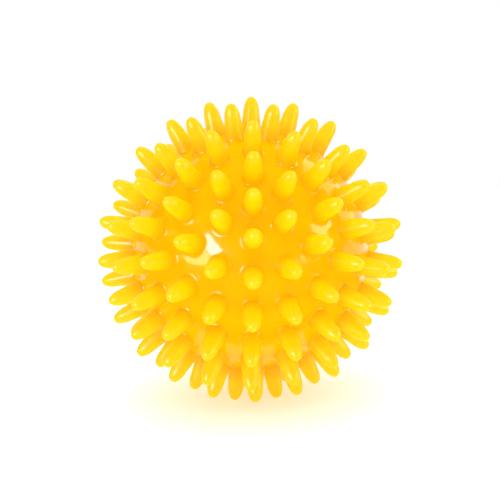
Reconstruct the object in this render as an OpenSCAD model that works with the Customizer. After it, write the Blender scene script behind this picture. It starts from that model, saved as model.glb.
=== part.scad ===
// Hollow spiky massage ball with a push-in air plug, resting on three of its spikes.

/* [Skin] */
// Diameter of the skin between the spikes
skin_d = 61.6; // [60:0.2:64]
// Thickness of the skin
skin_t = 2.2; // [1.8:0.1:3]

/* [Spikes] */
// Height of a spike above the skin
spike_h = 9.2; // [8:0.1:10.5]
// Radius of a spike's round tip
tip_r = 1.45; // [1.25:0.05:1.6]
// Angle from a spike's axis at which its round tip ends
tip_arc = 60; // [55:1:65]
// Radius of the shoulder between a spike's tip and its flank
shoulder_r = 6; // [5:0.25:7]
// Angle of a spike's flank to its axis
flank_taper = 6; // [4:0.5:7]
// Radius of the fillet between a spike and the skin
root_r = 0.8; // [0.6:0.1:1.2]

/* [Spike pattern] */
// Angle from one ring of spikes to the next
ring_pitch = 16.6; // [16.3:0.1:16.8]
// Turn of the lower half's pattern from the upper half's
half_turn = 84; // [0:1:359]

/* [Air valve] */
// Diameter of the plug's head
plug_head_d = 8; // [7:0.1:9]
// Thickness of the plug's head on its axis
plug_head_t = 1.3; // [1.1:0.1:1.6]
// Gap between the plug's head and the rim of its seat
head_gap = 0.3; // [0.2:0.05:0.5]
// Diameter of the plug's stem
plug_stem_d = 4; // [3.4:0.1:5]
// Length of the plug's stem below its head
plug_stem_l = 9; // [8:0.5:12]
// Gap between the plug's stem and its hole
stem_gap = 0.05; // [0.02:0.01:0.1]
// Length of the stem's tapered nose
plug_nose_l = 2; // [1:0.1:3]
// Diameter at the end of the nose
plug_nose_d = 2.6; // [1.5:0.1:3]
// Wall of the boss beyond the seat of the plug's head
boss_wall = 1.2; // [0.8:0.1:2]
// Length of the boss below the seat
boss_l = 6.5; // [5:0.5:7.5]

/* [Hidden] */
// Spikes in each ring of one half, from the pole to the parting line
ring_counts = [6, 12, 17, 20, 22];
// Ring and place of the three lower spikes that the ball rests on
rest_spikes = [[2, 13], [3, 15], [3, 16]];
// Depth of the foot that joins a spike to the skin
foot_depth = 1;
// Depth at which a root fillet would lie flat, so that it crosses the skin at a clear angle
fillet_sink = 0.07;
// Straight steps that draw a spike's tip, shoulder and root fillet
tip_steps = 6;
shoulder_steps = 3;
root_steps = 5;
skin_r = skin_d / 2;
hollow_r = skin_r - skin_t;
tip_centre = skin_r + spike_h - tip_r;
seat_r = skin_r - plug_head_t;
seat_d = plug_head_d + 2 * head_gap;
hole_d = plug_stem_d + 2 * stem_gap;
boss_d = seat_d + 2 * boss_wall;
$fn = 48;

// Angle of a ring from its half's pole
function ring_tilt(ring) = 90 - ring_pitch * (len(ring_counts) - 0.5 - ring);

// Direction at a tilt from the upper pole and a turn about it
function direction(tilt, turn) = [sin(tilt) * sin(turn), -sin(tilt) * cos(turn), cos(tilt)];

// Turn of one spike of a ring about the poles
function spike_turn(ring, place, start) = start + 360 * place / ring_counts[ring];

function unit(v) = v / norm(v);

// Points of an arc in the spike's section, after its first one, with angles from the spike's axis
function arc(centre, radius, from, to, steps) =
    [for (i = [1:steps])
        let (a = from + (to - from) * i / steps)
        centre + radius * [sin(a), cos(a)]];

// Half section of a spike from its tip to its foot: round tip, shoulder, flank and root fillet
function spike_section() =
    let (
        tip = [0, tip_centre],
        flank_angle = 90 - flank_taper,
        shoulder = tip - (shoulder_r - tip_r) * [sin(tip_arc), cos(tip_arc)],
        outward = [sin(flank_angle), cos(flank_angle)],
        downward = [cos(flank_angle), -sin(flank_angle)],
        start = shoulder + (shoulder_r + root_r) * outward,
        reach = skin_r - fillet_sink + root_r,
        drop = -start * downward - sqrt(pow(start * downward, 2) - start * start + reach * reach),
        fillet = start + drop * downward,
        fillet_end = atan2(fillet.x, fillet.y),
        foot = fillet - root_r * unit(fillet),
        tip_points = arc(tip, tip_r, 0, tip_arc, tip_steps)
    )
    concat(
        [[0, tip_points[0].y]],
        tip_points,
        arc(shoulder, shoulder_r, tip_arc, flank_angle, shoulder_steps),
        [fillet - root_r * outward],
        arc(fillet, root_r, flank_angle + 180, fillet_end + 180, root_steps),
        [foot - [0, foot_depth], [0, foot.y - foot_depth]]
    );

module spike(tilt, turn) {
    rotate([tilt, 0, turn])
        rotate_extrude()
            polygon(spike_section());
}

// One ring of spikes on each half, the lower one mirrored about the parting line and turned
module ring_pair(ring) {
    for (place = [0:ring_counts[ring] - 1]) {
        spike(ring_tilt(ring), spike_turn(ring, place, 0));
        spike(180 - ring_tilt(ring), spike_turn(ring, place, half_turn));
    }
}

// Turns the ball so that its rest spikes stand on the floor and its upper pole faces forwards
module set_down() {
    tips = [for (s = rest_spikes)
        direction(180 - ring_tilt(s[0]), spike_turn(s[0], s[1], half_turn))];
    across = cross(tips[1] - tips[0], tips[2] - tips[0]);
    up = -unit(across * sign(across * tips[0]));
    back = -unit([0, 0, 1] - up.z * up);
    right = cross(back, up);
    rest_h = tip_centre * abs(up * tips[0]) + tip_r;
    translate([0, 0, rest_h])
        multmatrix([for (row = [right, back, up]) concat(row, 0)])
            children();
}

// Room for air inside the skin, with the valve's boss left standing at the lower pole
module hollow() {
    difference() {
        sphere(r = hollow_r);
        translate([0, 0, -skin_r])
            cylinder(h = plug_head_t + boss_l, d = boss_d);
    }
}

// Seat for the plug's head and hole for its stem, at the lower pole
module valve_seat() {
    translate([0, 0, -skin_r - spike_h])
        cylinder(h = spike_h + plug_head_t, d = seat_d);
    translate([0, 0, -skin_r])
        cylinder(h = skin_r, d = hole_d);
}

module skin() {
    color([0.98, 0.8, 0.03])
        set_down()
            difference() {
                union() {
                    sphere(r = skin_r);
                    spike(0, 0);
                    for (ring = [0:len(ring_counts) - 1])
                        ring_pair(ring);
                }
                hollow();
                valve_seat();
            }
}

// The head's face carries on the curve of the skin
module valve_plug() {
    color([0.93, 0.92, 0.88])
        set_down() {
            intersection() {
                sphere(r = skin_r);
                translate([0, 0, -skin_r - plug_head_t])
                    cylinder(h = 2 * plug_head_t, d = plug_head_d);
            }
            translate([0, 0, -seat_r])
                cylinder(h = plug_stem_l - plug_nose_l, d = plug_stem_d);
            translate([0, 0, plug_stem_l - plug_nose_l - seat_r])
                cylinder(h = plug_nose_l, d1 = plug_stem_d, d2 = plug_nose_d);
        }
}

skin();
valve_plug();
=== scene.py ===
"""Builds the looks of a spiky massage ball: its soft vinyl skin, its air plug and a studio to show it in."""
import math

import bmesh
import bpy
from bpy.props import FloatProperty, FloatVectorProperty, IntProperty, PointerProperty
from mathutils import Matrix, Vector


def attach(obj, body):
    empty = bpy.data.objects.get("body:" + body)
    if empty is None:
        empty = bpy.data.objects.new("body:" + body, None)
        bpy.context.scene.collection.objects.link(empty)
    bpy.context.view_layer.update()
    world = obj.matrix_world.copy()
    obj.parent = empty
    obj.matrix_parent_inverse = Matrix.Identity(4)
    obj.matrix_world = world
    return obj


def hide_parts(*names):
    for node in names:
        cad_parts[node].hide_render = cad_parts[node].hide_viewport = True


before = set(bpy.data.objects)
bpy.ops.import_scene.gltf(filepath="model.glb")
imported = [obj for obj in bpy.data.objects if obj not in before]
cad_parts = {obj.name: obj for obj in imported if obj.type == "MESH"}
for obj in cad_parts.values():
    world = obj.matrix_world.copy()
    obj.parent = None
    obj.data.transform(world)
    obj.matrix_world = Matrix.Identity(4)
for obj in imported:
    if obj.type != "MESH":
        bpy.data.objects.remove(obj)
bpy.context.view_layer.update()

bl_info = {
    "name": "Spiky Massage Ball",
    "version": (1, 0, 0),
    "blender": (4, 5, 0),
    "location": "View3D > Sidebar > Massage Ball",
    "description": "Builds a soft spiky massage ball with its air plug, and a studio to show it in",
    "category": "Object",
}

MM = 0.001
# Spikes in each ring of one half, from the pole to the parting line
RING_COUNTS = (6, 12, 17, 20, 22)
# Ring and place of the three spikes of the lower half that the ball rests on
REST_SPIKES = ((2, 13), (3, 15), (3, 16))
# Stages of a spike's section: skin, root fillet, flank, shoulder and tip
STAGES = 5
# Points that are closer than this become one
SAME_POINT = 0.001 * MM
# Range that most values of a noise texture lie in
NOISE_LOW = 0.3
NOISE_HIGH = 0.7
# Width of the camera's sensor in millimetres
SENSOR_W = 36


def linear(hex_colour):
    """Turns an sRGB hex colour into linear red, green and blue with full alpha."""
    parts = [int(hex_colour[i:i + 2], 16) / 255 for i in (1, 3, 5)]
    return [c / 12.92 if c <= 0.04045 else ((c + 0.055) / 1.055) ** 2.4 for c in parts] + [1.0]


class BallSizes(bpy.types.PropertyGroup):
    """Sizes of the ball, the same as those of its solids"""

    skin_d: FloatProperty(
        name="Skin Diameter", description="Diameter of the skin between the spikes",
        default=61.6 * MM, unit="LENGTH")
    skin_t: FloatProperty(
        name="Skin Thickness", description="Thickness of the skin",
        default=2.2 * MM, unit="LENGTH")
    spike_h: FloatProperty(
        name="Spike Height", description="Height of a spike above the skin",
        default=9.2 * MM, unit="LENGTH")
    tip_r: FloatProperty(
        name="Tip Radius", description="Radius of a spike's round tip",
        default=1.45 * MM, unit="LENGTH")
    tip_arc: FloatProperty(
        name="Tip Arc", description="Angle from a spike's axis at which its round tip ends",
        default=math.radians(60), unit="ROTATION")
    shoulder_r: FloatProperty(
        name="Shoulder Radius", description="Radius of the shoulder between a spike's tip and its flank",
        default=6 * MM, unit="LENGTH")
    flank_taper: FloatProperty(
        name="Flank Taper", description="Angle of a spike's flank to its axis",
        default=math.radians(6), unit="ROTATION")
    root_r: FloatProperty(
        name="Root Fillet", description="Radius of the fillet between a spike and the skin",
        default=0.8 * MM, unit="LENGTH")
    ring_pitch: FloatProperty(
        name="Ring Pitch", description="Angle from one ring of spikes to the next",
        default=math.radians(16.6), unit="ROTATION")
    half_turn: FloatProperty(
        name="Half Turn", description="Turn of the lower half's pattern from the upper half's",
        default=math.radians(84), unit="ROTATION")
    head_d: FloatProperty(
        name="Plug Head Diameter", description="Diameter of the plug's head",
        default=8 * MM, unit="LENGTH")
    head_t: FloatProperty(
        name="Plug Head Thickness", description="Thickness of the plug's head on its axis",
        default=1.3 * MM, unit="LENGTH")
    head_gap: FloatProperty(
        name="Head Gap", description="Gap between the plug's head and the rim of its seat",
        default=0.3 * MM, unit="LENGTH", precision=4)
    stem_d: FloatProperty(
        name="Plug Stem Diameter", description="Diameter of the plug's stem",
        default=4 * MM, unit="LENGTH")
    stem_l: FloatProperty(
        name="Plug Stem Length", description="Length of the plug's stem below its head",
        default=9 * MM, unit="LENGTH")
    stem_gap: FloatProperty(
        name="Stem Gap", description="Gap between the plug's stem and its hole",
        default=0.05 * MM, unit="LENGTH", precision=5)
    nose_l: FloatProperty(
        name="Nose Length", description="Length of the stem's tapered nose",
        default=2 * MM, unit="LENGTH")
    nose_d: FloatProperty(
        name="Nose Diameter", description="Diameter at the end of the nose",
        default=2.6 * MM, unit="LENGTH")
    boss_wall: FloatProperty(
        name="Boss Wall", description="Wall of the boss beyond the seat of the plug's head",
        default=1.2 * MM, unit="LENGTH")
    boss_l: FloatProperty(
        name="Boss Length", description="Length of the boss below the seat",
        default=6.5 * MM, unit="LENGTH")
    fineness: IntProperty(
        name="Fineness", description="Times that each stage of a spike is divided in two",
        default=2, min=1, max=3)


class BallFinish(bpy.types.PropertyGroup):
    """Colours and gloss of the ball"""

    # Painted shade: the skin between the spikes is given a deeper yellow than the spikes' flanks
    valley_colour_with_painted_shade: FloatVectorProperty(
        name="Valley Colour", description="Colour of the skin between the spikes",
        default=linear("#FFC300"), size=4, subtype="COLOR")
    flank_colour: FloatVectorProperty(
        name="Flank Colour", description="Colour half way up a spike",
        default=linear("#FFDF00"), size=4, subtype="COLOR")
    tip_colour: FloatVectorProperty(
        name="Tip Colour", description="Colour of a spike's tip",
        default=linear("#FFD503"), size=4, subtype="COLOR")
    plug_colour: FloatVectorProperty(
        name="Plug Colour", description="Colour of the air plug",
        default=linear("#DEDCD2"), size=4, subtype="COLOR")
    skin_roughness: FloatProperty(
        name="Skin Roughness", description="Roughness of the skin where it is glossiest",
        default=0.08, subtype="FACTOR", min=0, max=1)
    spike_dullness: FloatProperty(
        name="Spike Dullness", description="Roughness that the spikes have beyond that of the skin",
        default=0.2, subtype="FACTOR", min=0, max=1)


class StageView(bpy.types.PropertyGroup):
    """Place of the camera"""

    azimuth: FloatProperty(
        name="Azimuth", description="Turn of the camera to the right of the front",
        default=math.radians(-2.397), unit="ROTATION")
    elevation: FloatProperty(
        name="Elevation", description="Angle from which the camera looks down",
        default=math.radians(11.421), unit="ROTATION")
    roll: FloatProperty(
        name="Roll", description="Turn of the camera about its line of sight",
        default=math.radians(-1.94), unit="ROTATION")
    distance: FloatProperty(
        name="Distance", description="Distance from the camera to the ball's centre",
        default=376.83 * MM, unit="LENGTH")
    lens: FloatProperty(
        name="Focal Length", description=f"Focal length on a sensor {SENSOR_W} mm wide",
        default=103.38, unit="CAMERA")


def add(tree, kind, inputs=(), **settings):
    """Adds a node, applies its settings, and sets or links its inputs by name or number."""
    node = tree.nodes.new(kind)
    for name, value in settings.items():
        setattr(node, name, value)
    for name, value in dict(inputs).items():
        if isinstance(value, bpy.types.NodeSocket):
            tree.links.new(value, node.inputs[name])
        else:
            node.inputs[name].default_value = value
    return node


def direction(tilt, turn):
    """Direction at a tilt from the upper pole and a turn about it."""
    return Vector((math.sin(tilt) * math.sin(turn), -math.sin(tilt) * math.cos(turn), math.cos(tilt)))


def pitches_to_seam(ring):
    """Number of ring pitches from a ring of spikes to the parting line."""
    return len(RING_COUNTS) - 0.5 - ring


def ring_tilt(sizes, ring):
    """Angle of a ring from its half's pole."""
    return math.pi / 2 - sizes.ring_pitch * pitches_to_seam(ring)


def set_down(sizes):
    """Matrix that stands the ball on its rest spikes with its upper pole towards the front."""
    tips = []
    for ring, place in REST_SPIKES:
        turn = sizes.half_turn + 2 * math.pi * place / RING_COUNTS[ring]
        tips.append(direction(math.pi - ring_tilt(sizes, ring), turn))
    across = (tips[1] - tips[0]).cross(tips[2] - tips[0]).normalized()
    up = -across if across.dot(tips[0]) > 0 else across
    back = (up * up.z - Vector((0, 0, 1))).normalized()
    right = back.cross(up)
    tip_centre = sizes.skin_d / 2 + sizes.spike_h - sizes.tip_r
    rest_h = tip_centre * abs(up.dot(tips[0])) + sizes.tip_r
    return Matrix.Translation((0, 0, rest_h)) @ Matrix((right, back, up)).to_4x4()


def polar(radius, angle):
    """Point of a section at a radius and an angle from the spike's axis: across, along and nothing."""
    return Vector((radius * math.sin(angle), radius * math.cos(angle), 0))


def spike_section(sizes):
    """Arcs of a spike's section, each tangent to the next, by the names of the skin tree's inputs."""
    skin_r = sizes.skin_d / 2
    tip = Vector((0, skin_r + sizes.spike_h - sizes.tip_r, 0))
    flank = math.pi / 2 - sizes.flank_taper
    shoulder = tip - polar(sizes.shoulder_r - sizes.tip_r, sizes.tip_arc)
    downward = Vector((math.cos(flank), -math.sin(flank), 0))
    start = shoulder + polar(sizes.shoulder_r + sizes.root_r, flank)
    reach = skin_r + sizes.root_r
    along = start.dot(downward)
    fillet = start + downward * (-along - math.sqrt(along ** 2 - start.length_squared + reach ** 2))
    return {
        "Tip Centre": tip,
        "Shoulder Centre": shoulder,
        "Fillet Centre": fillet,
        "Flank Foot": fillet - polar(sizes.root_r, flank),
        "Flank Head": shoulder + polar(sizes.shoulder_r, flank),
        "Flank Angle": flank,
        "Fillet Angle": math.atan2(fillet.x, fillet.y),
    }


def valve_section(sizes):
    """Section of the plug's seat, from its rounded rim to the end of its hole, by the same names."""
    skin_r = sizes.skin_d / 2
    rim_r = sizes.head_gap
    seat_r = sizes.head_d / 2 + sizes.head_gap
    hole_r = sizes.stem_d / 2 + sizes.stem_gap
    seat_z = skin_r - sizes.head_t
    rim = Vector((seat_r + rim_r, math.sqrt((skin_r - rim_r) ** 2 - (seat_r + rim_r) ** 2), 0))
    # The valve's cell has a side for each spike of the first ring, and its sides clear the rim
    side_gap = rim_r / 2
    corner_r = (seat_r + rim_r + side_gap) / math.cos(math.pi / RING_COUNTS[0])
    return {
        "Cell Corner": Vector((corner_r, math.sqrt(skin_r ** 2 - corner_r ** 2), 0)),
        "Rim Centre": rim,
        "Rim Radius": rim_r,
        "Rim Angle": math.atan2(rim.x, rim.y),
        "Seat Wall Head": Vector((seat_r, rim.y, 0)),
        "Seat Wall Foot": Vector((seat_r, seat_z, 0)),
        "Hole Mouth": Vector((hole_r, seat_z, 0)),
        "Hole End": Vector((hole_r, seat_z - sizes.boss_l, 0)),
    }


def new_tree(name, inputs, outputs):
    """Starts a geometry node tree with named sockets and returns it with its inputs and outputs."""
    tree = bpy.data.node_groups.new(name, "GeometryNodeTree")
    for way, sockets in (("INPUT", inputs), ("OUTPUT", outputs)):
        for label, kind in sockets:
            tree.interface.new_socket(label, in_out=way, socket_type="NodeSocket" + kind)
    return tree, add(tree, "NodeGroupInput").outputs, add(tree, "NodeGroupOutput").inputs


def arc_tree():
    """Point on an arc of a section, as the stage runs one on from the arc's first one."""
    tree, given, result = new_tree(
        "Section Arc",
        [("Stage", "Float"), ("First", "Float"), ("Centre", "Vector"), ("Radius", "Float"),
         ("From", "Float"), ("To", "Float")],
        [("Point", "Vector")])
    run = add(tree, "ShaderNodeMath", {0: given["Stage"], 1: given["First"]},
              operation="SUBTRACT", use_clamp=True)
    angle = add(tree, "ShaderNodeMix", {0: run.outputs[0], 2: given["From"], 3: given["To"]}).outputs[0]
    across = add(tree, "ShaderNodeMath", {0: angle}, operation="SINE")
    along = add(tree, "ShaderNodeMath", {0: angle}, operation="COSINE")
    way = add(tree, "ShaderNodeCombineXYZ", {0: across.outputs[0], 1: along.outputs[0]})
    arm = add(tree, "ShaderNodeVectorMath", {0: way.outputs[0], "Scale": given["Radius"]},
              operation="SCALE")
    point = add(tree, "ShaderNodeVectorMath", {0: arm.outputs[0], 1: given["Centre"]}, operation="ADD")
    tree.links.new(point.outputs[0], result["Point"])
    return tree


def line_tree():
    """Point on a straight run of a section, as the stage runs one on from the run's first one."""
    tree, given, result = new_tree(
        "Section Line",
        [("Stage", "Float"), ("First", "Float"), ("From", "Vector"), ("To", "Vector")],
        [("Point", "Vector")])
    run = add(tree, "ShaderNodeMath", {0: given["Stage"], 1: given["First"]},
              operation="SUBTRACT", use_clamp=True)
    point = add(tree, "ShaderNodeMix", {0: run.outputs[0], 4: given["From"], 5: given["To"]},
                data_type="VECTOR")
    tree.links.new(point.outputs[1], result["Point"])
    return tree


def ring_tree():
    """One ring of spike directions on each half, the lower one mirrored about the parting line and turned.

    Each direction is a point at a distance of one from the ball's centre.
    """
    tree, given, result = new_tree(
        "Spike Ring Pair",
        [("Count", "Int"), ("Tilt", "Float"), ("Half Turn", "Float")],
        [("Directions", "Geometry")])
    circle = add(tree, "GeometryNodeMeshCircle", {"Vertices": given["Count"], "Radius": 1.0},
                 fill_type="NONE")
    across = add(tree, "ShaderNodeMath", {0: given["Tilt"]}, operation="SINE").outputs[0]
    height = add(tree, "ShaderNodeMath", {0: given["Tilt"]}, operation="COSINE").outputs[0]
    depth = add(tree, "ShaderNodeMath", {0: height, 1: -1.0}, operation="MULTIPLY").outputs[0]
    size = add(tree, "ShaderNodeCombineXYZ", {0: across, 1: across, 2: 1.0})
    both = add(tree, "GeometryNodeJoinGeometry")
    for lift, turn in ((height, 0.0), (depth, given["Half Turn"])):
        place = add(tree, "ShaderNodeCombineXYZ", {2: lift})
        start = add(tree, "ShaderNodeMath", {0: turn, 1: math.pi / 2}, operation="SUBTRACT")
        spin = add(tree, "ShaderNodeCombineXYZ", {2: start.outputs[0]})
        ring = add(tree, "GeometryNodeTransform", {
            "Geometry": circle.outputs[0], "Translation": place.outputs[0],
            "Rotation": spin.outputs[0], "Scale": size.outputs[0]})
        tree.links.new(ring.outputs[0], both.inputs[0])
    tree.links.new(both.outputs[0], result["Directions"])
    return tree


# Inputs of the skin's tree: sizes and material, then the section of a spike and that of the valve
SKIN_INPUTS = [
    ("Skin Radius", "Float"), ("Spike Height", "Float"), ("Tip Radius", "Float"), ("Tip Arc", "Float"),
    ("Shoulder Radius", "Float"), ("Root Fillet", "Float"), ("Ring Pitch", "Float"),
    ("Half Turn", "Float"), ("Fineness", "Int"), ("Material", "Material"),
    ("Tip Centre", "Vector"), ("Shoulder Centre", "Vector"), ("Fillet Centre", "Vector"),
    ("Flank Foot", "Vector"), ("Flank Head", "Vector"), ("Flank Angle", "Float"),
    ("Fillet Angle", "Float"),
    ("Cell Corner", "Vector"), ("Rim Centre", "Vector"), ("Rim Radius", "Float"), ("Rim Angle", "Float"),
    ("Seat Wall Head", "Vector"), ("Seat Wall Foot", "Vector"), ("Hole Mouth", "Vector"),
    ("Hole End", "Vector"),
]


def widened_corners(tree, given, outward, first_tilt):
    """Directions of the cells' corners, with those of the valve's cell moved out to hold its seat."""
    x, y, z = add(tree, "ShaderNodeSeparateXYZ", {0: outward}).outputs
    flat = add(tree, "ShaderNodeCombineXYZ", {0: x, 1: y})
    side = add(tree, "ShaderNodeVectorMath", {0: flat.outputs[0]}, operation="NORMALIZE")
    across, along, _ = add(tree, "ShaderNodeSeparateXYZ", {0: given["Cell Corner"]}).outputs
    sideways = add(tree, "ShaderNodeVectorMath", {0: side.outputs[0], "Scale": across}, operation="SCALE")
    downwards = add(tree, "ShaderNodeVectorMath", {0: (0, 0, -1), "Scale": along}, operation="SCALE")
    moved = add(tree, "ShaderNodeVectorMath", {0: sideways.outputs[0], 1: downwards.outputs[0]},
                operation="ADD")
    corner = add(tree, "ShaderNodeVectorMath", {0: moved.outputs[0]}, operation="NORMALIZE")

    # The valve's corners are the only ones that lie below the lower half's first ring of spikes
    lower_tilt = add(tree, "ShaderNodeMath", {0: first_tilt, 1: math.pi}, operation="ADD")
    ring_height = add(tree, "ShaderNodeMath", {0: lower_tilt.outputs[0]}, operation="COSINE")
    below = add(tree, "FunctionNodeCompare", {0: z, 1: ring_height.outputs[0]}, operation="LESS_THAN")
    corners = add(tree, "GeometryNodeSwitch", {
        "Switch": below.outputs[0], "False": outward, "True": corner.outputs[0]}, input_type="VECTOR")
    return corners.outputs[0]


def spike_cells(tree, given, place):
    """Divides the ball into cells, one for each spike, which keep its axis and the home of each corner.

    The directions of the spikes make a hull, and the hull's dual has the cells.
    """
    ring_pair = ring_tree()
    poles = add(tree, "GeometryNodeMeshLine", {
        "Count": 2, "Start Location": (0, 0, 1), "Offset": (0, 0, -1)}, mode="END_POINTS")
    spread = add(tree, "GeometryNodeJoinGeometry", {0: poles.outputs[0]})
    tilts = []
    for ring, count in enumerate(RING_COUNTS):
        tilt = add(tree, "ShaderNodeMath", {
            0: given["Ring Pitch"], 1: -pitches_to_seam(ring), 2: math.pi / 2}, operation="MULTIPLY_ADD")
        pair = add(tree, "GeometryNodeGroup", {
            "Count": count, "Tilt": tilt.outputs[0], "Half Turn": given["Half Turn"]}, node_tree=ring_pair)
        tree.links.new(pair.outputs[0], spread.inputs[0])
        tilts.append(tilt.outputs[0])
    hull = add(tree, "GeometryNodeConvexHull", {0: spread.outputs[0]})
    marked = add(tree, "GeometryNodeStoreNamedAttribute", {
        "Geometry": hull.outputs[0], "Name": "axis", "Value": place},
        data_type="FLOAT_VECTOR", domain="POINT")
    cells = add(tree, "GeometryNodeDualMesh", {0: marked.outputs[0]})
    outward = add(tree, "ShaderNodeVectorMath", {0: place}, operation="NORMALIZE")
    corners = widened_corners(tree, given, outward.outputs[0], tilts[0])
    homed = add(tree, "GeometryNodeStoreNamedAttribute", {
        "Geometry": cells.outputs[0], "Name": "home", "Value": corners},
        data_type="FLOAT_VECTOR", domain="POINT")
    return homed.outputs[0]


def staged_cells(tree, given, mesh, lower_pole):
    """Raises each cell through the stages of a section, with no height yet, and opens the valve's hole.

    Each point keeps the stage that it belongs to.
    """
    top = True
    for stage in range(1, STAGES + 1):
        raised = add(tree, "GeometryNodeExtrudeMesh", {
            "Mesh": mesh, "Selection": top, "Offset Scale": 0.0, "Individual": True}, mode="FACES")
        top = raised.outputs["Top"]
        staged = add(tree, "GeometryNodeStoreNamedAttribute", {
            "Geometry": raised.outputs["Mesh"], "Selection": top, "Name": "stage", "Value": stage},
            data_type="FLOAT", domain="POINT")
        mesh = staged.outputs[0]
    hole_end = add(tree, "FunctionNodeBooleanMath", {0: top, 1: lower_pole}, operation="AND")
    opened = add(tree, "GeometryNodeDeleteGeometry", {0: mesh, 1: hole_end.outputs[0]}, domain="FACE")
    divided = add(tree, "GeometryNodeSubdivideMesh", {0: opened.outputs[0], "Level": given["Fineness"]})
    return divided.outputs[0]


def section_point(tree, given, stage, lower_pole):
    """Distances across and along an axis at a stage of a spike's section, or the valve's at the lower pole.

    The stage's whole number says which run of the section it is on.
    """
    arc = arc_tree()
    line = line_tree()
    fillet_start = add(tree, "ShaderNodeMath", {0: given["Fillet Angle"], 1: math.pi}, operation="ADD")
    fillet_end = add(tree, "ShaderNodeMath", {0: given["Flank Angle"], 1: math.pi}, operation="ADD")
    # Each run's name and first stage, with an arc's centre, radius and angles or a line's ends
    arcs = (
        ("fillet", 1, "Fillet Centre", "Root Fillet", fillet_start.outputs[0], fillet_end.outputs[0]),
        ("shoulder", 3, "Shoulder Centre", "Shoulder Radius", given["Flank Angle"], given["Tip Arc"]),
        ("tip", 4, "Tip Centre", "Tip Radius", given["Tip Arc"], 0),
        ("rim", 1, "Rim Centre", "Rim Radius", given["Rim Angle"], -math.pi / 2),
    )
    lines = (
        ("flank", 2, "Flank Foot", "Flank Head"),
        ("wall", 2, "Seat Wall Head", "Seat Wall Foot"),
        ("floor", 3, "Seat Wall Foot", "Hole Mouth"),
        ("hole", 4, "Hole Mouth", "Hole End"),
    )
    runs = {}
    for name, first, centre, radius, start, end in arcs:
        runs[name] = add(tree, "GeometryNodeGroup", {
            "Stage": stage, "First": first, "Centre": given[centre], "Radius": given[radius],
            "From": start, "To": end}, node_tree=arc)
    for name, first, start, end in lines:
        runs[name] = add(tree, "GeometryNodeGroup", {
            "Stage": stage, "First": first, "From": given[start], "To": given[end]}, node_tree=line)

    # The valve's runs come after the spike's, and the end of the last stage still belongs to the last run
    order = ("fillet", "flank", "shoulder", "tip", "rim", "wall", "floor", "hole")
    just_under = 0.001
    in_range = add(tree, "ShaderNodeClamp", {0: stage, 1: 1, 2: STAGES - just_under})
    whole = add(tree, "ShaderNodeMath", {0: in_range.outputs[0]}, operation="FLOOR")
    number = add(tree, "ShaderNodeMath", {0: lower_pole, 1: STAGES - 1, 2: whole.outputs[0]},
                 operation="MULTIPLY_ADD")
    index = add(tree, "ShaderNodeMath", {0: number.outputs[0], 1: 1}, operation="SUBTRACT")
    pick = add(tree, "GeometryNodeIndexSwitch", {0: index.outputs[0]}, data_type="VECTOR")
    while len(pick.index_switch_items) < len(order):
        pick.index_switch_items.new()
    for slot, name in enumerate(order, start=1):
        tree.links.new(runs[name].outputs[0], pick.inputs[slot])
    return add(tree, "ShaderNodeSeparateXYZ", {0: pick.outputs[0]}).outputs


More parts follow.
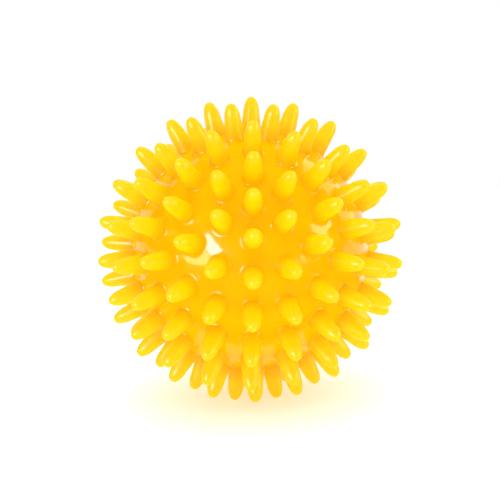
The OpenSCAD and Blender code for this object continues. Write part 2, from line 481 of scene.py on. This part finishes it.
def skin_tree():
    """The outside of the skin: each point of a cell goes where its stage lies on its spike's section."""
    tree, given, result = new_tree(
        "Spiky Skin", [("Geometry", "Geometry")] + SKIN_INPUTS, [("Skin", "Geometry")])
    place = add(tree, "GeometryNodeInputPosition").outputs[0]
    axis, home, stage = (
        add(tree, "GeometryNodeInputNamedAttribute", {"Name": name}, data_type=kind).outputs[0]
        for name, kind in (("axis", "FLOAT_VECTOR"), ("home", "FLOAT_VECTOR"), ("stage", "FLOAT")))
    height = add(tree, "ShaderNodeSeparateXYZ", {0: axis}).outputs[2]
    # Only the axis at the lower pole reaches this far down
    near_pole = -0.999
    lower_pole = add(tree, "FunctionNodeCompare", {0: height, 1: near_pole}, operation="LESS_THAN").outputs[0]
    cells = spike_cells(tree, given, place)
    mesh = staged_cells(tree, given, cells, lower_pole)
    across, along, _ = section_point(tree, given, stage, lower_pole)

    # On the section, across goes from the axis towards the home of the point's corner
    share = add(tree, "ShaderNodeVectorMath", {0: axis, 1: home}, operation="DOT_PRODUCT")
    shadow = add(tree, "ShaderNodeVectorMath", {0: axis, "Scale": share.outputs["Value"]},
                 operation="SCALE")
    off_axis = add(tree, "ShaderNodeVectorMath", {0: home, 1: shadow.outputs[0]}, operation="SUBTRACT")
    side = add(tree, "ShaderNodeVectorMath", {0: off_axis.outputs[0]}, operation="NORMALIZE")
    sideways = add(tree, "ShaderNodeVectorMath", {0: side.outputs[0], "Scale": across}, operation="SCALE")
    upwards = add(tree, "ShaderNodeVectorMath", {0: axis, "Scale": along}, operation="SCALE")
    spike = add(tree, "ShaderNodeVectorMath", {0: sideways.outputs[0], 1: upwards.outputs[0]},
                operation="ADD")

    # Before the first stage the point lies on the skin, between its home and the foot of the section
    foot = add(tree, "ShaderNodeVectorMath", {0: spike.outputs[0]}, operation="NORMALIZE")
    between = add(tree, "ShaderNodeMix", {0: stage, 4: home, 5: foot.outputs[0]}, data_type="VECTOR")
    ground = add(tree, "ShaderNodeVectorMath", {0: between.outputs[1]}, operation="NORMALIZE")
    skin = add(tree, "ShaderNodeVectorMath", {0: ground.outputs[0], "Scale": given["Skin Radius"]},
               operation="SCALE")
    on_skin = add(tree, "FunctionNodeCompare", {0: stage, 1: 1.0}, operation="LESS_THAN")
    where = add(tree, "GeometryNodeSwitch", {
        "Switch": on_skin.outputs[0], "False": spike.outputs[0], "True": skin.outputs[0]},
        input_type="VECTOR")
    laid = add(tree, "GeometryNodeSetPosition", {0: mesh, "Position": where.outputs[0]})
    closed = add(tree, "GeometryNodeMergeByDistance", {0: laid.outputs[0], "Distance": SAME_POINT})

    # The part of a spike's height that each point has risen, which painted shade and roughness follow
    reach = add(tree, "ShaderNodeVectorMath", {0: place}, operation="LENGTH")
    rise = add(tree, "ShaderNodeMath", {0: reach.outputs["Value"], 1: given["Skin Radius"]},
               operation="SUBTRACT")
    part = add(tree, "ShaderNodeMath", {0: rise.outputs[0], 1: given["Spike Height"]},
               operation="DIVIDE", use_clamp=True)
    mesh = add(tree, "GeometryNodeStoreNamedAttribute", {
        "Geometry": closed.outputs[0], "Name": "rise", "Value": part.outputs[0]},
        data_type="FLOAT", domain="POINT").outputs[0]
    for name in ("axis", "home", "stage"):
        mesh = add(tree, "GeometryNodeRemoveAttribute", {"Geometry": mesh, "Name": name}).outputs[0]
    real = add(tree, "GeometryNodeRealizeInstances", {0: mesh})
    painted = add(tree, "GeometryNodeSetMaterial", {
        "Geometry": real.outputs[0], "Material": given["Material"]})
    tree.links.new(painted.outputs[0], result["Skin"])
    return tree


def made_by_nodes(name, tree, values):
    """Runs a geometry node tree on an empty object and returns its result as a plain mesh."""
    seed = bpy.data.objects.new(name, bpy.data.meshes.new(name))
    bpy.context.scene.collection.objects.link(seed)
    nodes = seed.modifiers.new("Nodes", "NODES")
    nodes.node_group = tree
    for socket in tree.interface.items_tree:
        if socket.in_out == "INPUT" and socket.name in values:
            nodes[socket.identifier] = values[socket.name]
    ready = seed.evaluated_get(bpy.context.evaluated_depsgraph_get())
    mesh = bpy.data.meshes.new_from_object(ready)
    bpy.data.objects.remove(seed)
    return mesh


def line_inside(shape, sizes):
    """Carries the end of the valve's hole on round its boss and over the skin's inside, to a closed wall."""
    skin_r = sizes.skin_d / 2
    hollow_r = skin_r - sizes.skin_t
    boss_r = sizes.head_d / 2 + sizes.head_gap + sizes.boss_wall
    boss_end = skin_r - sizes.head_t - sizes.boss_l
    bands = 20
    start = math.asin(boss_r / hollow_r)
    outline = [(boss_r, boss_end)]
    for i in range(bands + 1):
        angle = start + (math.pi - start) * i / bands
        outline.append((hollow_r * math.sin(angle), hollow_r * math.cos(angle)))
    loop = [tuple(edge.verts) for edge in shape.edges if edge.is_boundary]
    if not loop:
        raise RuntimeError("the valve's hole has no open end")
    for radius, depth in outline:
        carried = {}
        for vert in (end for pair in loop for end in pair):
            if vert not in carried:
                side = Vector((vert.co.x, vert.co.y, 0)).normalized()
                carried[vert] = shape.verts.new(side * radius - Vector((0, 0, depth)))
        for first, last in loop:
            shape.faces.new((first, last, carried[last], carried[first]))
        loop = [(carried[first], carried[last]) for first, last in loop]


def round_corners(corners, steps=4):
    """Outline through corners given as across, along and radius, with an arc of that radius at each."""
    outline = []
    points = [Vector((across, along)) for across, along, _ in corners]
    for i, point in enumerate(points):
        radius = corners[i][2]
        if radius == 0:
            outline.append(point)
            continue
        before = (points[i - 1] - point).normalized()
        after = (points[i + 1] - point).normalized()
        half = before.angle(after) / 2
        centre = point + (before + after).normalized() * radius / math.sin(half)
        first = point + before * radius / math.tan(half) - centre
        last = point + after * radius / math.tan(half) - centre
        outline.extend(centre + first.slerp(last, k / steps) * radius for k in range(steps + 1))
    return outline


def turn_outline(outline, steps):
    """Turns an outline of across and along about the ball's axis, outwards from the lower pole."""
    shape = bmesh.new()
    rings = []
    for point in outline:
        ring = []
        for k in range(steps):
            turn = 2 * math.pi * k / steps
            ring.append(shape.verts.new((point.x * math.cos(turn), point.x * math.sin(turn), -point.y)))
        rings.append(ring)
    for inner, outer in zip(rings, rings[1:]):
        for k in range(steps):
            shape.faces.new((inner[k], inner[k - 1], outer[k - 1], outer[k]))
    return shape


def plug_outline(sizes):
    """Outline of the plug: a head that carries on the skin's curve, with a gate mark, and a nosed stem."""
    skin_r = sizes.skin_d / 2
    head_r = sizes.head_d / 2
    stem_r = sizes.stem_d / 2
    seat_z = skin_r - sizes.head_t
    end_z = seat_z - sizes.stem_l
    mark_r = 0.9 * MM
    mark_floor_r = 0.72 * MM
    mark_depth = 0.2 * MM
    # A place on the dome between the gate mark and the head's edge
    midway = 0.6 * head_r
    # Radii that round off the plug's edge and nose, the back of its head, and its gate mark
    edge_round = 0.3 * MM
    back_round = 0.15 * MM
    mark_round = 0.1 * MM

    def dome(across):
        """Height of the skin's curve at a distance from the axis."""
        return math.sqrt(skin_r ** 2 - across ** 2)

    return round_corners([
        (0, skin_r - mark_depth, 0),
        (mark_floor_r, skin_r - mark_depth, mark_round),
        (mark_r, dome(mark_r), mark_round),
        (midway, dome(midway), 0),
        (head_r, dome(head_r), edge_round),
        (head_r, seat_z, back_round),
        (stem_r, seat_z, 0),
        (stem_r, end_z + sizes.nose_l, 0),
        (sizes.nose_d / 2, end_z, edge_round),
        (0, end_z, 0),
    ])


def as_mesh(name, shape, sizes):
    """Closes a shape, shades it smooth but for its sharp corners, and sets it down as a mesh."""
    sharp = math.radians(40)
    bmesh.ops.remove_doubles(shape, verts=shape.verts, dist=SAME_POINT)
    bmesh.ops.recalc_face_normals(shape, faces=shape.faces)
    for face in shape.faces:
        face.smooth = True
    for edge in shape.edges:
        edge.smooth = edge.calc_face_angle(0) < sharp
    mesh = bpy.data.meshes.new(name)
    shape.to_mesh(mesh)
    shape.free()
    mesh.transform(set_down(sizes))
    return mesh


def add_piece(mesh, material, body, node):
    """Puts a finished mesh in the scene as a piece that rides on a body in place of its plain solid."""
    mesh.materials.clear()
    mesh.materials.append(material)
    piece = bpy.data.objects.new(mesh.name, mesh)
    bpy.context.scene.collection.objects.link(piece)
    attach(piece, body)
    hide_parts(node)


def new_material(name):
    """Starts an empty node material and returns it with its tree."""
    material = bpy.data.materials.new(name)
    material.use_nodes = True
    material.node_tree.nodes.clear()
    return material, material.node_tree


def soft_vinyl(finish):
    """Plasticised PVC, rotationally moulded in a polished mould.

    It is an opaque yellow, and light passes a little way through it, red the furthest. Its colour holds
    painted shade: it is deeper on the skin between the spikes, where the crevices are shaded, and lemon half
    way up the spikes. The skin is glossy, and the spikes have a softer sheen. Handling dulls the gloss in
    patches.
    """
    material, tree = new_material("soft_pvc_yellow")
    place = add(tree, "ShaderNodeTexCoord").outputs["Object"]
    rise = add(tree, "ShaderNodeAttribute", attribute_name="rise").outputs["Fac"]
    # Painted shade: the ramp makes the skin between the spikes a deeper yellow than the flanks
    half_way = 0.5
    painted_shade_ramp = add(tree, "ShaderNodeValToRGB", {0: rise})
    stops = painted_shade_ramp.color_ramp.elements
    stops[0].color = finish.valley_colour_with_painted_shade
    stops[1].color = finish.tip_colour
    stops.new(half_way).color = finish.flank_colour

    # Swirls of pigment
    swirl_size = 7 * MM
    swirl_shade = 0.97
    swirl = add(tree, "ShaderNodeTexNoise", {"Vector": place, "Scale": 1 / swirl_size, "Detail": 2.0})
    shade = add(tree, "ShaderNodeMapRange", {
        "Value": swirl.outputs["Fac"], "From Min": NOISE_LOW, "From Max": NOISE_HIGH,
        "To Min": swirl_shade})
    tint = add(tree, "ShaderNodeVectorMath", {0: painted_shade_ramp.outputs[0], "Scale": shade.outputs[0]},
               operation="SCALE")
    # Marks of handling, where the noise is high
    mark_size = 3 * MM
    mark_start = 0.4
    mark_full = 0.75
    mark_dullness = 0.06
    marks = add(tree, "ShaderNodeTexNoise", {"Vector": place, "Scale": 1 / mark_size, "Detail": 3.0})
    worn = add(tree, "ShaderNodeMapRange", {
        "Value": marks.outputs["Fac"], "From Min": mark_start, "From Max": mark_full,
        "To Min": finish.skin_roughness, "To Max": finish.skin_roughness + mark_dullness})
    # The spikes come duller out of the mould than the skin, from low on their flanks up
    dull_start = 0.005
    dull_full = 0.1
    duller = add(tree, "ShaderNodeMapRange", {
        "Value": rise, "From Min": dull_start, "From Max": dull_full, "To Max": finish.spike_dullness})
    rough = add(tree, "ShaderNodeMath", {0: worn.outputs[0], 1: duller.outputs[0]}, operation="ADD")
    # Shallow waves of the moulded surface
    wave_length = 2 * MM
    wave_height = 0.02 * MM
    waves = add(tree, "ShaderNodeTexNoise", {"Vector": place, "Scale": 1 / wave_length, "Detail": 1.0})
    bump = add(tree, "ShaderNodeBump", {
        "Height": waves.outputs["Fac"], "Strength": 1.0, "Distance": wave_height})
    shader = add(tree, "ShaderNodeBsdfPrincipled", {
        "Base Color": tint.outputs[0], "Roughness": rough.outputs[0], "Normal": bump.outputs[0],
        "IOR": 1.53, "Specular IOR Level": 0.2, "Subsurface Weight": 0.25,
        "Subsurface Radius": (1.0, 0.45, 0.08), "Subsurface Scale": 1.5 * MM})
    add(tree, "ShaderNodeOutputMaterial", {0: shader.outputs[0]})
    return material


def plug_plastic(finish):
    """Natural low-density polyethylene, injection moulded: milky white, with a soft sheen and fine grain."""
    material, tree = new_material("ldpe_natural")
    place = add(tree, "ShaderNodeTexCoord").outputs["Object"]
    # Grain of a spark-eroded mould
    grain_size = 0.4 * MM
    grain_height = 0.01 * MM
    grain = add(tree, "ShaderNodeTexNoise", {"Vector": place, "Scale": 1 / grain_size, "Detail": 2.0})
    bump = add(tree, "ShaderNodeBump", {
        "Height": grain.outputs["Fac"], "Strength": 1.0, "Distance": grain_height})
    # Milky clouds
    cloud_size = 3 * MM
    cloud_shade = 0.94
    cloud = add(tree, "ShaderNodeTexNoise", {"Vector": place, "Scale": 1 / cloud_size, "Detail": 2.0})
    shade = add(tree, "ShaderNodeMapRange", {
        "Value": cloud.outputs["Fac"], "From Min": NOISE_LOW, "From Max": NOISE_HIGH,
        "To Min": cloud_shade})
    tint = add(tree, "ShaderNodeVectorMath", {0: list(finish.plug_colour)[:3], "Scale": shade.outputs[0]},
               operation="SCALE")
    shader = add(tree, "ShaderNodeBsdfPrincipled", {
        "Base Color": tint.outputs[0], "Normal": bump.outputs[0], "Roughness": 0.42, "IOR": 1.51,
        "Subsurface Weight": 0.3, "Subsurface Radius": (1.0, 0.9, 0.8), "Subsurface Scale": 2 * MM})
    add(tree, "ShaderNodeOutputMaterial", {0: shader.outputs[0]})
    return material


def seen_directly(tree):
    """One for rays that show a surface to the eye, also by a mirror or through glass, and else nothing."""
    rays = add(tree, "ShaderNodeLightPath").outputs
    direct = add(tree, "ShaderNodeMath", {0: rays["Is Camera Ray"], 1: rays["Is Glossy Ray"]},
                 operation="ADD")
    seen = add(tree, "ShaderNodeMath", {0: direct.outputs[0], 1: rays["Is Transmission Ray"]},
               operation="ADD", use_clamp=True)
    return seen.outputs[0]


def floor_paper():
    """White studio paper with a painted glow near the ball, which lights the ball from below and softens its
    shadow: it still shows the ball's shadow, and is plain white further off.
    """
    material, tree = new_material("studio_paper")
    # Distances from the ball in metres
    shadow_end = 0.1
    white_start = 0.4
    # Painted glow near the ball, as the eye sees it over the shadow and as light on the ball from below
    shown_painted_glow = 0.35
    thrown_painted_glow = 0.45
    place = add(tree, "ShaderNodeTexCoord").outputs["Object"]
    reach = add(tree, "ShaderNodeVectorMath", {0: place}, operation="LENGTH")
    far = add(tree, "ShaderNodeMapRange", {
        "Value": reach.outputs["Value"], "From Min": shadow_end, "From Max": white_start},
        interpolation_type="SMOOTHSTEP")
    seen = seen_directly(tree)
    clear = add(tree, "ShaderNodeMath", {0: far.outputs[0], 1: seen}, operation="MULTIPLY")
    near = add(tree, "ShaderNodeMapRange", {"Value": seen, "To Min": thrown_painted_glow, "To Max": shown_painted_glow})
    glow = add(tree, "ShaderNodeMapRange", {"Value": clear.outputs[0], "To Min": near.outputs[0]})
    paper = add(tree, "ShaderNodeMix", {0: clear.outputs[0], 6: linear("#F2F2F2"), 7: (0, 0, 0, 1)},
                data_type="RGBA")
    shader = add(tree, "ShaderNodeBsdfPrincipled", {
        "Base Color": paper.outputs[2], "Roughness": 0.9, "Specular IOR Level": 0.0,
        "Emission Color": (1, 1, 1, 1), "Emission Strength": glow.outputs[0]})
    add(tree, "ShaderNodeOutputMaterial", {0: shader.outputs[0]})
    return material


def black_card():
    """Matte black card: dark, with no sheen."""
    material, tree = new_material("black_card")
    shader = add(tree, "ShaderNodeBsdfPrincipled", {
        "Base Color": linear("#181410"), "Roughness": 0.9, "Specular IOR Level": 0.0})
    add(tree, "ShaderNodeOutputMaterial", {0: shader.outputs[0]})
    return material


def add_cards(name, spans, material):
    """Adds flat cards of the stage as one object, each between two opposite corners."""
    corners = []
    for low, high in spans:
        first, second = [axis for axis in range(3) if low[axis] != high[axis]]
        for at_first, at_second in ((low, low), (high, low), (high, high), (low, high)):
            corner = list(low)
            corner[first] = at_first[first]
            corner[second] = at_second[second]
            corners.append(corner)
    mesh = bpy.data.meshes.new(name)
    mesh.from_pydata(corners, [], [range(4 * i, 4 * i + 4) for i in range(len(spans))])
    mesh.materials.append(material)
    cards = bpy.data.objects.new(name, mesh)
    bpy.context.scene.collection.objects.link(cards)
    return cards


def add_softbox(name, centre, aim, side, distance, size, level, colour, mirrored):
    """Adds a soft area light that faces the ball, with a level that is the brightness of its face.

    One that is mirrored only makes highlights, and one that isn't only lights.
    """
    width, height = size
    light = bpy.data.lights.new(name, "AREA")
    light.shape = "RECTANGLE"
    light.size = width
    light.size_y = height
    light.energy = level * math.pi * width * height
    light.color = colour[:3]
    lamp = bpy.data.objects.new(name, light)
    lamp.visible_glossy = mirrored
    lamp.visible_diffuse = not mirrored
    aim = aim.normalized()
    across = (side - aim * side.dot(aim)).normalized()
    turn = Matrix((across, aim.cross(across), aim)).transposed().to_4x4()
    lamp.matrix_world = Matrix.Translation(centre + aim * distance) @ turn
    bpy.context.scene.collection.objects.link(lamp)


def place_camera(scene, view, centre):
    """Adds the camera and returns its axes as columns: right, up and towards the viewer."""
    towards = direction(math.pi / 2 - view.elevation, view.azimuth)
    level = Vector((math.cos(view.azimuth), math.sin(view.azimuth), 0))
    right = level * math.cos(view.roll) + towards.cross(level) * math.sin(view.roll)
    up = towards.cross(right)
    axes = Matrix((right, up, towards)).transposed()
    camera = bpy.data.objects.new("camera", bpy.data.cameras.new("camera"))
    camera.data.lens = view.lens
    camera.data.sensor_width = SENSOR_W
    camera.matrix_world = Matrix.Translation(centre + towards * view.distance) @ axes.to_4x4()
    scene.collection.objects.link(camera)
    scene.camera = camera
    return axes


def add_black_cards():
    """Adds cards before, beside and over the ball, which show only in the skin and keep its colour deep."""
    half_w = 1.2
    front = -1.2
    back = 0.9
    top = 1.05
    # The cards on the table leave the ball's foot and the floor behind it free
    table = 0.5 * MM
    foot_front = -0.022
    foot_side = 0.05
    table_back = 0.06
    cards = add_cards("black_cards", [
        ((-half_w, front, table), (half_w, foot_front, table)),
        ((-half_w, foot_front, table), (-foot_side, table_back, table)),
        ((foot_side, foot_front, table), (half_w, table_back, table)),
        ((-half_w, front, table), (half_w, front, top)),
        ((-half_w, front, table), (-half_w, back, top)),
        ((half_w, front, table), (half_w, back, top)),
        ((-half_w, front, top), (half_w, back, top))], black_card())
    cards.visible_camera = False
    cards.visible_diffuse = False
    cards.visible_transmission = False
    cards.visible_shadow = False


def add_lamps(centre, axes):
    """Adds softboxes of white or cream cloth that the skin mirrors, and two lamps that light the ball."""
    white = linear("#FFFFFF")
    cream = linear("#FFFBB4")
    distance = 0.6
    ceiling_distance = 0.9
    # Name, aim and side as right, up and towards the viewer, width and height, level, and colour
    for name, aim, side, size, level, colour in (
            ("key", (-0.547, 0.009, 0.831), (0.62, 0.72, 0.32), (0.11, 0.33), 40, white),
            ("key_wing", (-0.718, -0.172, 0.676), (0.62, 0.72, 0.32), (0.21, 0.36), 19, cream),
            ("side", (0.93, 0.25, 0.25), (-0.25, 0, 0.93), (0.26, 0.16), 13, cream),
            ("side_wing", (0.87, -0.06, 0.46), (-0.46, 0, 0.87), (0.30, 0.24), 8, cream),
            ("rim", (0.71, 0.54, -0.46), (-0.54, 0.71, 0), (0.42, 0.30), 2.9, cream)):
        add_softbox(name, centre, axes @ Vector(aim), axes @ Vector(side),
                    distance, size, level, colour, True)
    add_softbox("fill", centre, axes @ Vector((0, 0.65, 0.76)), axes @ Vector((1, 0, 0)),
                distance, (0.5, 0.35), 1.0, white, False)
    add_softbox("ceiling", centre, Vector((0, 0.2, 1)), Vector((1, 0, 0)),
                ceiling_distance, (0.8, 0.8), 1.35, white, False)


def add_room(scene):
    """Gives the scene a room that lights evenly and is white to the eye."""
    even_light = 0.85
    world = bpy.data.worlds.new("studio")
    world.use_nodes = True
    room = world.node_tree
    room.nodes.clear()
    bright = add(room, "ShaderNodeMapRange", {"Value": seen_directly(room), "To Min": even_light})
    light = add(room, "ShaderNodeBackground", {"Color": (1, 1, 1, 1), "Strength": bright.outputs[0]})
    add(room, "ShaderNodeOutputWorld", {0: light.outputs[0]})
    scene.world = world


class BALL_OT_skin(bpy.types.Operator):
    """Builds the hollow skin with its spikes and valve seat"""

    bl_idname = "ball.skin"
    bl_label = "Build Skin"

    def execute(self, context):
        sizes = context.scene.ball_sizes
        material = soft_vinyl(context.scene.ball_finish)
        values = {
            "Skin Radius": sizes.skin_d / 2, "Spike Height": sizes.spike_h, "Tip Radius": sizes.tip_r,
            "Tip Arc": sizes.tip_arc, "Shoulder Radius": sizes.shoulder_r, "Root Fillet": sizes.root_r,
            "Ring Pitch": sizes.ring_pitch, "Half Turn": sizes.half_turn, "Fineness": sizes.fineness,
            "Material": material,
        }
        values.update(spike_section(sizes))
        values.update(valve_section(sizes))
        outside = made_by_nodes("spiky_outside", skin_tree(), values)
        shape = bmesh.new()
        shape.from_mesh(outside)
        line_inside(shape, sizes)
        add_piece(as_mesh("spiky_skin", shape, sizes), material, "ball", "skin")
        return {"FINISHED"}


class BALL_OT_plug(bpy.types.Operator):
    """Builds the push-in air plug"""

    bl_idname = "ball.plug"
    bl_label = "Build Air Plug"

    def execute(self, context):
        sizes = context.scene.ball_sizes
        shape = turn_outline(plug_outline(sizes), steps=48)
        material = plug_plastic(context.scene.ball_finish)
        add_piece(as_mesh("air_plug", shape, sizes), material, "plug", "valve_plug")
        return {"FINISHED"}


class BALL_OT_stage(bpy.types.Operator):
    """Sets up the camera, the floor, the black cards, the lamps and the room"""

    bl_idname = "ball.stage"
    bl_label = "Set Stage"

    def execute(self, context):
        scene = context.scene
        centre = set_down(scene.ball_sizes).translation
        axes = place_camera(scene, scene.ball_view, centre)
        floor_half = 8.0
        add_cards("floor", [((-floor_half, -floor_half, 0), (floor_half, floor_half, 0))], floor_paper())
        add_black_cards()
        add_lamps(centre, axes)
        add_room(scene)
        scene.view_settings.view_transform = "Standard"
        return {"FINISHED"}


class BALL_PT_panel(bpy.types.Panel):
    """Sidebar panel with the ball's settings and the steps that build it"""

    bl_idname = "BALL_PT_panel"
    bl_label = "Massage Ball"
    bl_space_type = "VIEW_3D"
    bl_region_type = "UI"
    bl_category = "Massage Ball"

    def draw(self, context):
        for operator in OPERATORS:
            self.layout.operator(operator.bl_idname)
        for settings, group in SETTINGS.items():
            for name in group.__annotations__:
                self.layout.prop(getattr(context.scene, settings), name)


OPERATORS = (BALL_OT_skin, BALL_OT_plug, BALL_OT_stage)
SETTINGS = {"ball_sizes": BallSizes, "ball_finish": BallFinish, "ball_view": StageView}


def register():
    """Makes the settings, the steps and the panel known to Blender."""
    for name, group in SETTINGS.items():
        bpy.utils.register_class(group)
        setattr(bpy.types.Scene, name, PointerProperty(type=group))
    for cls in OPERATORS + (BALL_PT_panel,):
        bpy.utils.register_class(cls)


def unregister():
    """Takes the panel, the steps and the settings away again."""
    for cls in reversed(OPERATORS + (BALL_PT_panel,)):
        bpy.utils.unregister_class(cls)
    for name, group in SETTINGS.items():
        delattr(bpy.types.Scene, name)
        bpy.utils.unregister_class(group)


def main():
    """Builds the ball and its stage."""
    register()
    bpy.ops.ball.skin()
    bpy.ops.ball.plug()
    bpy.ops.ball.stage()


if __name__ == "__main__":
    main()
